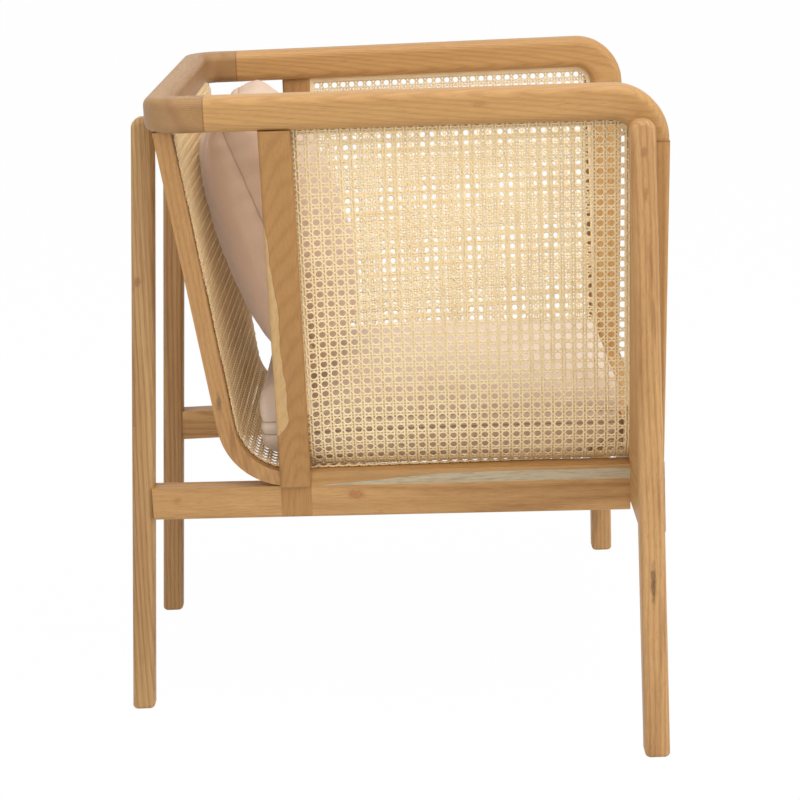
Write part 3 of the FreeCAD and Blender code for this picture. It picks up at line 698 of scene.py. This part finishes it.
@dataclass
class CaneShell:
    """The woven shell of the back and the seat: down the back, round the bend and forward."""

    weave: CaneWeave
    pitch: float = 0.0119
    tuck: float = 0.0080
    tuck_way: Vector = Vector((0.0, 0.7, 0.7))
    head: tuple[float, float] = (0.2245, 0.7015)
    heel: tuple[float, float] = (0.1695, 0.2955)
    bend: float = 0.0635
    front: float = -0.277
    top_half: float = 0.240
    low_half: float = 0.188
    low_height: float = 0.294
    lean: float = field(init=False)
    back_run: float = field(init=False)
    turn: float = field(init=False)

    def __post_init__(self) -> None:
        """Work out the straight run of the back and the angle of the bend."""
        rise = self.head[1] - self.heel[1]
        self.lean = math.atan2(self.head[0] - self.heel[0], rise)
        self.turn = math.pi / 2 - self.lean
        self.back_run = math.hypot(self.head[0] - self.heel[0], rise) - self.tangent()

    def tangent(self) -> float:
        """Return the distance from the heel to where the bend starts."""
        return self.bend * math.tan(self.turn / 2)

    def point(self, run: float) -> tuple[Vector, Vector]:
        """Follow the shell in side view.

        Args:
            run: Length from the back rail, less than 0 inside the rail.

        Returns:
            The point and the normal there.
        """
        down = Vector((0.0, -math.sin(self.lean), -math.cos(self.lean)))
        out = Vector((0.0, -math.cos(self.lean), math.sin(self.lean)))
        start = Vector((0.0, *self.head))
        if run < 0.0:
            return start - self.tuck_way * run, out
        if run <= self.back_run:
            return start + down * run, out
        centre = start + down * self.back_run + out * self.bend
        angle = (run - self.back_run) / self.bend
        if angle <= self.turn:
            spin = Matrix.Rotation(-angle, 3, "X")
            return centre - spin @ out * self.bend, spin @ out
        flat = centre + Vector((0.0, 0.0, -self.bend))
        ahead = run - self.back_run - self.turn * self.bend
        return flat + Vector((0.0, -ahead, 0.0)), Vector((0.0, 0.0, 1.0))

    def skin(self, run: float) -> tuple[Vector, Vector]:
        """Return the point and normal on the upper side of the weave at a run from the back rail."""
        point, normal = self.point(run)
        return point + normal * (self.weave.wave + self.weave.thick / 2), normal

    def bend_end(self) -> float:
        """Return the run at which the bend meets the seat."""
        return self.back_run + self.turn * self.bend

    def seat_end(self) -> float:
        """Return the run at the front of the seat."""
        return self.bend_end() + self.point(self.bend_end())[0].y - self.front

    def panel(self, name: str, start: float, end: float, half: float,
              finish: bpy.types.Material) -> bpy.types.Object:
        """Weave one stretch of the shell.

        Args:
            name: Name of the piece.
            start: Where it starts, as a run from the back rail.
            end: Where it ends.
            half: Half its width.
            finish: Its material.

        Returns:
            The woven piece.
        """
        columns = 2 * math.ceil(half / self.pitch)
        rows = round((end - start) / self.pitch)
        step = (end - start) / rows

        def surface(column: float, row: float) -> tuple[Vector, Vector]:
            """Place a point of this stretch."""
            point, normal = self.point(start + row * step)
            return point + Vector(((column - columns / 2) * self.pitch, 0.0, 0.0)), normal

        mesh = bmesh.new()
        mesh.from_mesh(self.weave.lay(columns, rows, surface))
        lean = Vector((self.top_half - self.low_half, 0.0, self.head[1] - self.low_height)).normalized()
        for sign in (1.0, -1.0):
            edge = Vector((sign * self.low_half, 0.0, self.low_height))
            outward = Vector((sign * lean.z, 0.0, -lean.x))
            bmesh.ops.bisect_plane(mesh, geom=[*mesh.verts, *mesh.edges, *mesh.faces], plane_co=edge,
                                   plane_no=outward, clear_outer=True)
        close_ends(mesh)
        trimmed = bpy.data.meshes.new(name)
        mesh.to_mesh(trimmed)
        mesh.free()
        piece = show(name, trimmed, finish)
        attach(piece, "frame")
        return piece

    def build(self, finish: bpy.types.Material) -> None:
        """Weave the back with its bend, and the seat.

        Args:
            finish: The cane's material.
        """
        back = self.panel("woven_back", -self.tuck, self.bend_end(), self.top_half, finish)
        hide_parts("shell_cane")
        self.panel("woven_seat", self.bend_end(), self.seat_end(), self.low_half, finish)


@dataclass
class WoodFrame:
    """The wooden pieces of the frame, each with the grain of its own cut."""

    arm_joint: float = 0.187
    post_joint: float = 0.678
    side_change: float = 0.012
    upright_rear: float = 0.129
    upright_low: float = 0.335
    upright_high: float = 0.610
    upright_band: float = 0.018
    upright_start: float = 0.10
    upright_end: float = 0.03
    upright_edge: float = 0.0016
    upright_taper: float = 0.7
    upright_wobble: float = 0.015
    upright_wave: float = 17.0
    rail_start: float = 0.016
    rail_height: float = 0.72
    rail_slope: float = 0.5
    rail_wobble: float = 0.016
    rail_wave: float = 12.0
    rail_fade: float = 0.026
    rail_amount: float = 0.70
    strip_low: float = 0.277
    strip_rear: float = 0.093
    strip_long: float = 0.370
    strip_rise: float = 0.029
    strip_band: float = 0.0135
    strip_wobble: float = 0.004
    strip_wave: float = 13.0
    strip_edge: float = 0.0010

    def upright_sapwood(self, bench: Bench) -> Shade:
        """Mask the pale wavy band down the rear edge of an upright.

        Args:
            bench: The material being built.

        Returns:
            The band's mask.
        """
        _, y, z = bench.axes(bench.place())
        share = (z - self.upright_low) / (self.upright_high - self.upright_low)
        share = share.largest(0.0).smallest(1.0)
        width = (1.0 - share) ** self.upright_taper * share.ramp(0.0, self.upright_start) * self.upright_band
        waves = bench.noise(bench.place(scale=(0.0, 0.0, self.upright_wave)), 1.0, 2.0)
        edge = y - self.upright_rear + width + (waves - 0.5) * self.upright_wobble
        ends = share.ramp(0.0, self.upright_end), share.ramp(1.0, 1.0 - self.upright_end)
        return edge.ramp(0.0, self.upright_edge) * ends[0] * ends[1]

    def rail_sapwood(self, bench: Bench) -> Shade:
        """Mask the paler wood at the rear of the back rail.

        Args:
            bench: The material being built.

        Returns:
            The paler wood's mask.
        """
        _, y, z = bench.axes(bench.place())
        wobble = (bench.noise(bench.place(), self.rail_wave, 2.0) - 0.5) * self.rail_wobble
        edge = y - self.arm_joint - self.rail_start - (z - self.rail_height) * self.rail_slope + wobble
        return edge.ramp(0.0, self.rail_fade) * self.rail_amount

    def strip_sapwood(self, bench: Bench) -> Shade:
        """Mask the grey band that rises along a seat strip towards the front.

        Args:
            bench: The material being built.

        Returns:
            The band's mask.
        """
        _, y, z = bench.axes(bench.place())
        share = (self.strip_rear - y) / self.strip_long
        waves = bench.noise(bench.place(scale=(0.0, self.strip_wave, 0.0)), 1.0, 2.0)
        rise = (share * self.strip_rise).smallest(self.strip_band)
        edge = rise + self.strip_low - z + (waves - 0.5) * self.strip_wobble
        return edge.ramp(0.0, self.strip_edge)

    def cross_pieces(self) -> dict[str, Teak]:
        """Choose the wood of the pieces that run across the chair.

        Returns:
            Each finish, by node name.
        """
        return {
            "back_rail": Teak(
                "teak_back_rail", Grain.ACROSS, Vector((0.0, -0.02, -0.080)), ring_gap=0.0023, wander=0.006,
                joint=(1, self.arm_joint), pale=(0.365, 0.200, 0.076), deep=(0.215, 0.105, 0.034),
                sapwood=self.rail_sapwood, sapwood_colour=(0.570, 0.370, 0.170)),
            "front_apron": Teak("teak_apron", Grain.ACROSS, Vector((0.1, 0.06, -0.03))),
            "seat_bearer": Teak("teak_bearer", Grain.ACROSS),
        }

    def side_pieces(self, side: str) -> dict[str, Teak]:
        """Choose the wood of one side's pieces.

        Args:
            side: The side.

        Returns:
            Each finish, by the node's name without its side.
        """
        sign = SIDES[side]
        change = self.side_change * sign
        return {
            "arm": Teak(
                f"teak_{side}_arm", Grain.ALONG, Vector((-0.09 * sign, 0.0, -0.03 + change)),
                tilt=(0.006, 0.004), ring_gap=0.0026, wander=0.006, streak_amount=0.16,
                joint=(1, self.arm_joint),
                spots=(Spot(Vector((sign * 0.291, -0.113, 0.724)), Vector((0.02, 0.013, 0.005)),
                            (0.330, 0.140, 0.050), 0.60),)),
            "front_leg": Teak(
                f"teak_{side}_front_leg", Grain.UP, Vector((0.05 * sign, 0.09 + change, 0.0)),
                tilt=(0.015, 0.02), ring_gap=0.0055, wander=0.020, figure=0.60, streak_amount=0.55,
                pale=(0.535, 0.306, 0.122), deep=(0.285, 0.128, 0.038),
                spots=(Spot(Vector((sign * 0.371, -0.287, 0.200)), Vector((0.03, 0.0042, 0.032)),
                            (0.090, 0.042, 0.022), 0.90),
                       Spot(Vector((sign * 0.333, -0.286, 0.672)), Vector((0.02, 0.0050, 0.008)),
                            (0.230, 0.100, 0.036), 0.70),
                       Spot(Vector((sign * 0.337, -0.287, 0.628)), Vector((0.02, 0.0035, 0.013)),
                            (0.200, 0.090, 0.034), 0.60))),
            "front_post": Teak(
                f"teak_{side}_front_post", Grain.UP, Vector((0.03 * sign, 0.10, 0.0)),
                joint=(2, self.post_joint)),
            "back_leg": Teak(
                f"teak_{side}_back_leg", Grain.UP, Vector((0.03 * sign, -0.08 + change, 0.0)),
                tilt=(0.02, 0.05), ring_gap=0.0055, wander=0.020, figure=0.62, streak_amount=0.55,
                pale=(0.505, 0.306, 0.126), deep=(0.265, 0.122, 0.038),
                spots=(Spot(Vector((sign * 0.188, 0.281, 0.524)), Vector((0.02, 0.0055, 0.008)),
                            (0.240, 0.100, 0.040), 0.80),)),
            "lower_rail": Teak(
                f"teak_{side}_lower_rail", Grain.ALONG, Vector((-0.030 * sign, 0.0, change)),
                tilt=(0.065, 0.020), ring_gap=0.0085, wander=0.030, figure=0.52, streak_amount=0.30,
                pale=(0.545, 0.312, 0.117), deep=(0.270, 0.120, 0.034),
                spots=(Spot(Vector((sign * 0.207, 0.041, 0.266)), Vector((0.03, 0.015, 0.009)),
                            (0.330, 0.130, 0.042), 0.90),
                       Spot(Vector((sign * 0.207, 0.252, 0.262)), Vector((0.03, 0.011, 0.008)),
                            (0.330, 0.140, 0.046), 0.65))),
            "upright": Teak(
                f"teak_{side}_upright", Grain.UP, Vector((-0.05 * sign, -0.02, 0.0)),
                tilt=(0.05, 0.030), ring_gap=0.0056, wander=0.036, streak_amount=0.25,
                pale=(0.405, 0.208, 0.066), deep=(0.290, 0.134, 0.040), sapwood=self.upright_sapwood),
            "shell_side": Teak(
                f"teak_{side}_shell_side", Grain.UP, Vector((0.02 * sign, -0.10, 0.0)),
                tilt=(-0.13, 0.10), ring_gap=0.0060, wander=0.022, figure=0.50, streak_amount=0.55,
                pale=(0.475, 0.260, 0.098),
                spots=(Spot(Vector((sign * 0.209, 0.194, 0.381)), Vector((0.03, 0.0045, 0.018)),
                            (0.130, 0.070, 0.040), 0.75),)),
            "seat_strip": Teak(
                f"teak_{side}_seat_strip", Grain.ALONG, Vector((0.06 * sign, 0.0, -0.03)),
                tilt=(0.02, 0.02), streak=(0.215, 0.160, 0.100), sapwood=self.strip_sapwood,
                sapwood_colour=(0.440, 0.385, 0.265), sapwood_streak=0.70),
        }

    def build(self) -> None:
        """Give every wooden node, reed border and dowel its finish."""
        finishes = self.cross_pieces()
        for side in SIDES:
            finishes |= {f"{side}_{piece}": teak for piece, teak in self.side_pieces(side).items()}
        for node, teak in finishes.items():
            low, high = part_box(node)
            self.dress(node, teak.material((low + high) / 2))
        reed = Cane("reed", (0.850, 0.670, 0.400), (0.650, 0.450, 0.220)).material()
        for side in SIDES:
            self.dress(f"{side}_side_spline", reed)
        dowel = Teak("dowel_wood", Grain.UP).material(Vector(NO_MOVE))
        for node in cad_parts:
            if node.endswith("dowels"):
                self.dress(node, dowel)

    def dress(self, node: str, material: bpy.types.Material) -> None:
        """Put a material on a node that keeps its own shape.

        Args:
            node: Name of the node.
            material: Its material.
        """
        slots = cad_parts[node].data.materials
        slots.clear()
        slots.append(material)
        LOG.info("%s: %s", node, material.name)


@dataclass
class Seam:
    """A sewn seam where a plane cuts a cushion: a fine cord in a shallow crease, with gathers beside it."""

    place: Vector
    normal: Vector
    cord: float = 0.0009
    cord_rings: int = 2
    crease: float = 0.0022
    crease_reach: float = 0.0045
    gather: float = 0.0
    gather_reach: float = 0.040
    gather_gap: float = 0.017
    gather_draw: float = 0.75

    def draw_in(self, mesh: bpy.types.Mesh) -> None:
        """Press the crease and the gathers into a cushion.

        Args:
            mesh: The cushion's mesh.
        """
        normal = self.normal.normalized()
        outward = [vertex.normal.copy() for vertex in mesh.vertices]
        for vertex, out in zip(mesh.vertices, outward):
            away = (vertex.co - self.place).dot(normal)
            depth = self.crease * math.exp(-((away / self.crease_reach) ** 2))
            fold = noise.noise((vertex.co - normal * away * self.gather_draw) / self.gather_gap)
            depth += self.gather * fold * math.exp(-abs(away) / self.gather_reach)
            vertex.co -= out * depth

    def loop(self, mesh: bpy.types.Mesh) -> list[Vector]:
        """Follow the plane's cut round a cushion.

        Args:
            mesh: The cushion's mesh.

        Returns:
            The points of the cut, in order.
        """
        cut = bmesh.new()
        cut.from_mesh(mesh)
        found = bmesh.ops.bisect_plane(cut, geom=[*cut.verts, *cut.edges, *cut.faces], plane_co=self.place,
                                       plane_no=self.normal)["geom_cut"]
        edges = [item for item in found if isinstance(item, bmesh.types.BMEdge)]
        step = edges[0].verts[0]
        left = set(edges)
        points: list[Vector] = []
        while left:
            points.append(step.co.copy())
            joined = [edge for edge in step.link_edges if edge in left]
            if not joined:
                break
            left.discard(joined[0])
            step = joined[0].other_vert(step)
        cut.free()
        return points

    def build(self, name: str, mesh: bpy.types.Mesh, body: str, finish: bpy.types.Material) -> None:
        """Lay the seam's cord round a cushion.

        Args:
            name: Name of the cord.
            mesh: The cushion's mesh.
            body: Body that the cord rides on.
            finish: Its material.
        """
        points = self.loop(mesh)
        curve = bpy.data.curves.new(name, "CURVE")
        curve.dimensions = "3D"
        curve.bevel_depth = self.cord
        curve.bevel_resolution = self.cord_rings
        spline = curve.splines.new("POLY")
        spline.points.add(len(points) - 1)
        spline.use_cyclic_u = True
        for knot, point in zip(spline.points, points):
            knot.co = (*point, 1.0)
        maker = bpy.data.objects.new(name, curve)
        bpy.context.scene.collection.objects.link(maker)
        mesh = baked(maker)
        bpy.data.objects.remove(maker)
        cord = show(name, mesh, finish)
        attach(cord, body)


@dataclass(frozen=True)
class Rest:
    """A flat surface that a cushion lies against, with the direction out of it."""

    place: Vector
    out: Vector

    def press(self, mesh: bpy.types.Mesh) -> None:
        """Move every point that lies behind the surface onto it.

        Args:
            mesh: The cushion's mesh.
        """
        for vertex in mesh.vertices:
            depth = (vertex.co - self.place).dot(self.out)
            if depth < 0.0:
                vertex.co -= self.out * depth
        mesh.update()


@dataclass
class Cushion:
    """A loose cushion, swelled from its plain solid, with its sewn seams."""

    node: str
    body: str
    seams: tuple[Seam, ...]
    rest: Rest
    fit: Vector = Vector((1.020, 1.012, 0.985))
    soften: int = 3
    ease: float = 0.5
    merge: float = 0.00005
    voxel: float = 0.006
    pressure: float = 3.0
    stiffness: float = 0.6
    quality: int = 6
    frames: int = 20
    cap: float = 0.006
    fill: float = 0.75
    spread: float = 0.0
    spread_rear: float = 0.25
    spread_height: float = 0.010
    spread_power: int = 3

    def start(self) -> bpy.types.Object:
        """Copy the plain solid, fitted and evenly meshed.

        Returns:
            The copy.
        """
        mesh = bmesh.new()
        mesh.from_mesh(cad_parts[self.node].data)
        bmesh.ops.remove_doubles(mesh, verts=mesh.verts, dist=self.merge)
        low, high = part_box(self.node)
        middle = Matrix.Translation(-(low + high) / 2)
        bmesh.ops.scale(mesh, verts=mesh.verts, vec=self.fit, space=middle)
        data = bpy.data.meshes.new(f"{self.node}_form")
        mesh.to_mesh(data)
        mesh.free()
        piece = bpy.data.objects.new(f"{self.node}_form", data)
        bpy.context.scene.collection.objects.link(piece)
        remesh = piece.modifiers.new("even", "REMESH")
        remesh.mode = "VOXEL"
        remesh.voxel_size = self.voxel
        piece.data = baked(piece)
        piece.modifiers.clear()
        return piece

    def blow(self, piece: bpy.types.Object) -> None:
        """Swell the piece with cloth under pressure and keep every point within the cap.

        Args:
            piece: The fitted copy.
        """
        rest = [vertex.co.copy() for vertex in piece.data.vertices]
        cloth = piece.modifiers.new("cloth", "CLOTH")
        cloth.settings.use_pressure = True
        cloth.settings.uniform_pressure_force = self.pressure
        cloth.settings.effector_weights.gravity = 0.0
        cloth.settings.bending_stiffness = self.stiffness
        cloth.settings.quality = self.quality
        cloth.collision_settings.use_collision = False
        scene = bpy.context.scene
        for step in range(1, self.frames + 1):
            scene.frame_set(step)
        piece.data = baked(piece)
        piece.modifiers.clear()
        scene.frame_set(1)
        for vertex, before in zip(piece.data.vertices, rest):
            move = vertex.co - before
            if move.length > self.cap:
                vertex.co = before + move.normalized() * self.cap

    def sew(self, piece: bpy.types.Object) -> bpy.types.Mesh:
        """Ease the cushion's edges, refine its mesh and draw its seams in.

        Args:
            piece: The swelled piece, which is used up.

        Returns:
            The cushion's mesh.
        """
        ease = piece.modifiers.new("ease", "SMOOTH")
        ease.factor = self.ease
        ease.iterations = self.soften
        refine = piece.modifiers.new("refine", "SUBSURF")
        refine.levels = refine.render_levels = 1
        mesh = baked(piece)
        bpy.data.objects.remove(piece)
        self.settle(mesh)
        for seam in self.seams:
            seam.draw_in(mesh)
            mesh.update()
        self.rest.press(mesh)
        return mesh

    def settle(self, mesh: bpy.types.Mesh) -> None:
        """Spread the cushion's lower side edges over what it sits on.

        Args:
            mesh: The cushion's mesh.
        """
        low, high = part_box(self.node)
        for vertex in mesh.vertices:
            near = abs(vertex.co.x) / high.x
            rise = (vertex.co.z - low.z) / self.spread_height
            front = min(max((high.y - vertex.co.y) / (high.y - low.y), 0.0), 1.0)
            share = self.spread_rear + (1.0 - self.spread_rear) * front
            reach = self.spread * share * near ** self.spread_power * math.exp(-rise * rise)
            vertex.co.x += math.copysign(reach, vertex.co.x)
        mesh.update()

    def build(self, finish: bpy.types.Material, thread: bpy.types.Material) -> None:
        """Make the cushion with its seams and put it in place of the plain solid.

        Args:
            finish: Material of the cloth.
            thread: Material of the seams.
        """
        piece = self.start()
        self.blow(piece)
        mesh = self.sew(piece)
        cushion = show(f"{self.node}_cloth", mesh, finish)
        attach(cushion, self.body)
        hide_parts(self.node)
        for number, seam in enumerate(self.seams):
            seam.build(f"{self.node}_seam_{number}", mesh, self.body, thread)


@dataclass
class CaneWork:
    """The chair's cane: both sides and the shell."""

    sides: tuple[tuple[str, int, int], ...] = (("right", 32, 34), ("left", 34, 35))
    weave: CaneWeave = field(default_factory=CaneWeave)
    shell: CaneShell = field(
        default_factory=lambda: CaneShell(CaneWeave(thick=0.00120, wave=0.00060, lift=0.3)))

    def build(self) -> None:
        """Weave the sides and the shell."""
        cane = Cane("cane").material()
        for side, columns, rows in self.sides:
            CaneSide(side, self.weave, columns, rows).build(cane)
        self.shell.build(Cane("shell_cane_finish", (0.890, 0.680, 0.385), (0.700, 0.465, 0.215)).material())


@dataclass
class Upholstery:
    """The two loose cushions, which lie on the shell."""

    shell: CaneShell
    seat_seams: tuple[float, ...] = (0.350, 0.335)
    seat_spread: float = 0.026
    back_lean: float = math.radians(20.0)
    back_gather: float = 0.0042
    back_fit: Vector = Vector((0.990, 0.985, 0.965))
    back_soften: int = 6

    def seat(self) -> Cushion:
        """Lay out the seat cushion.

        Returns:
            The cushion, with a seam on each side of its edge band.
        """
        level = Vector((0.0, 0.0, 1.0))
        seams = tuple(Seam(Vector((0.0, 0.0, height)), level) for height in self.seat_seams)
        rest = Rest(*self.shell.skin(self.shell.seat_end()))
        return Cushion("seat_cushion", "seat_pad", seams, rest, spread=self.seat_spread)

    def back(self) -> Cushion:
        """Lay out the back cushion.

        Returns:
            The cushion, with one gathered seam round its middle.
        """
        low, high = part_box("back_cushion")
        face = Vector((0.0, math.cos(self.back_lean), -math.sin(self.back_lean)))
        seam = Seam((low + high) / 2, face, gather=self.back_gather)
        rest = Rest(*self.shell.skin(0.0))
        return Cushion("back_cushion", "back_pad", (seam,), rest, self.back_fit, self.back_soften)

    def build(self) -> None:
        """Make both cushions, each in its own cloth."""
        taupe = Cloth("taupe_cloth", (0.640, 0.445, 0.315), (0.510, 0.340, 0.225)).material()
        sand = Cloth("sand_cloth", (0.690, 0.545, 0.430), (0.580, 0.445, 0.340)).material()
        taupe_thread = Cloth("taupe_thread", (0.470, 0.325, 0.230), (0.380, 0.255, 0.170)).material()
        sand_thread = Cloth("sand_thread", (0.430, 0.325, 0.255), (0.350, 0.260, 0.195)).material()
        self.seat().build(sand, sand_thread)
        self.back().build(taupe, taupe_thread)


@dataclass(frozen=True)
class Lamp:
    """A soft square lamp."""

    name: str
    place: Vector
    size: float
    power: float

    def hang(self, aim: Vector) -> None:
        """Hang the lamp.

        Args:
            aim: Point that it faces.
        """
        data = bpy.data.lights.new(self.name, "AREA")
        data.size = self.size
        data.energy = self.power
        lamp = bpy.data.objects.new(self.name, data)
        lamp.location = self.place
        lamp.rotation_euler = (self.place - aim).to_track_quat("Z", "Y").to_euler()
        bpy.context.scene.collection.objects.link(lamp)


@dataclass
class Studio:
    """The pale floor, the soft light and the camera at the photograph's angle."""

    place: Vector = Vector((-2.71, -0.045, 1.02))
    yaw: float = math.radians(-0.70)
    pitch: float = math.radians(14.39)
    roll: float = math.radians(-2.29)
    focal_pixels: float = 2243.0
    frame_pixels: float = 800.0
    sensor: float = 36.0
    floor_half: float = 12.0
    floor_white: Colour = (0.88, 0.88, 0.88)
    floor_roughness: float = 0.9
    floor_glow: float = 0.985
    room_light: float = 0.60
    lamps: tuple[Lamp, ...] = (
        Lamp("top_lamp", Vector((-0.6, -0.3, 2.6)), 2.4, 44.0),
        Lamp("side_lamp", Vector((-2.6, 1.4, 1.9)), 1.8, 17.0),
        Lamp("front_lamp", Vector((-1.6, -2.6, 1.6)), 1.8, 34.0),
    )
    aim: Vector = Vector((0.0, 0.0, 0.4))

    def camera(self) -> None:
        """Stand the camera at the near side of the chair, a little turned and rolled."""
        data = bpy.data.cameras.new("camera")
        data.sensor_width = self.sensor
        data.lens = self.focal_pixels / self.frame_pixels * self.sensor
        flat = math.cos(self.pitch)
        forward = Vector((math.cos(self.yaw) * flat, -math.sin(self.yaw) * flat, -math.sin(self.pitch)))
        level = Vector((-math.sin(self.yaw), -math.cos(self.yaw), 0.0))
        above = level.cross(forward)
        right = level * math.cos(self.roll) + above * math.sin(self.roll)
        up = above * math.cos(self.roll) - level * math.sin(self.roll)
        turn = Matrix((right, up, -forward)).transposed().to_4x4()
        camera = bpy.data.objects.new("camera", data)
        camera.matrix_world = Matrix.Translation(self.place) @ turn
        bpy.context.scene.collection.objects.link(camera)
        bpy.context.scene.camera = camera

    def floor(self) -> None:
        """Lay a white floor that keeps the chair's shadow."""
        mesh = bmesh.new()
        bmesh.ops.create_grid(mesh, x_segments=1, y_segments=1, size=self.floor_half)
        data = bpy.data.meshes.new("floor")
        mesh.to_mesh(data)
        mesh.free()
        bench = Bench("floor_white")
        bench.dress(self.floor_white, self.floor_roughness)
        glow = bench.add("ShaderNodeEmission", {}, {"Color": WHITE, "Strength": 1.0})
        plain = Shade(bench, bench.shader.outputs[0])
        share = bench.seen() * self.floor_glow
        mixed = bench.add("ShaderNodeMixShader", {}, {0: share, 1: plain, 2: glow})
        bench.feed(bench.tree.nodes["Material Output"].inputs["Surface"], mixed)
        show("floor", data, bench.material)

    def light(self) -> None:
        """Hang the soft lamps and light the room evenly."""
        for lamp in self.lamps:
            lamp.hang(self.aim)
        sky = Sky("room")
        bpy.context.scene.world = sky.world
        strength = sky.add("ShaderNodeMapRange", {},
                           {"Value": sky.seen(), "To Min": self.room_light, "To Max": 1.0})
        sky.feed(sky.shader.inputs["Color"], WHITE)
        sky.feed(sky.shader.inputs["Strength"], strength)

    def build(self) -> None:
        """Set the stage."""
        bpy.context.scene.view_settings.view_transform = "Standard"
        self.camera()
        self.floor()
        self.light()


def main() -> None:
    """Build every piece in order."""
    logging.basicConfig(level=logging.INFO, format="%(name)s %(message)s")
    Studio().build()
    WoodFrame().build()
    cane_work = CaneWork()
    cane_work.build()
    Upholstery(cane_work.shell).build()


if __name__ == "__main__":
    main()
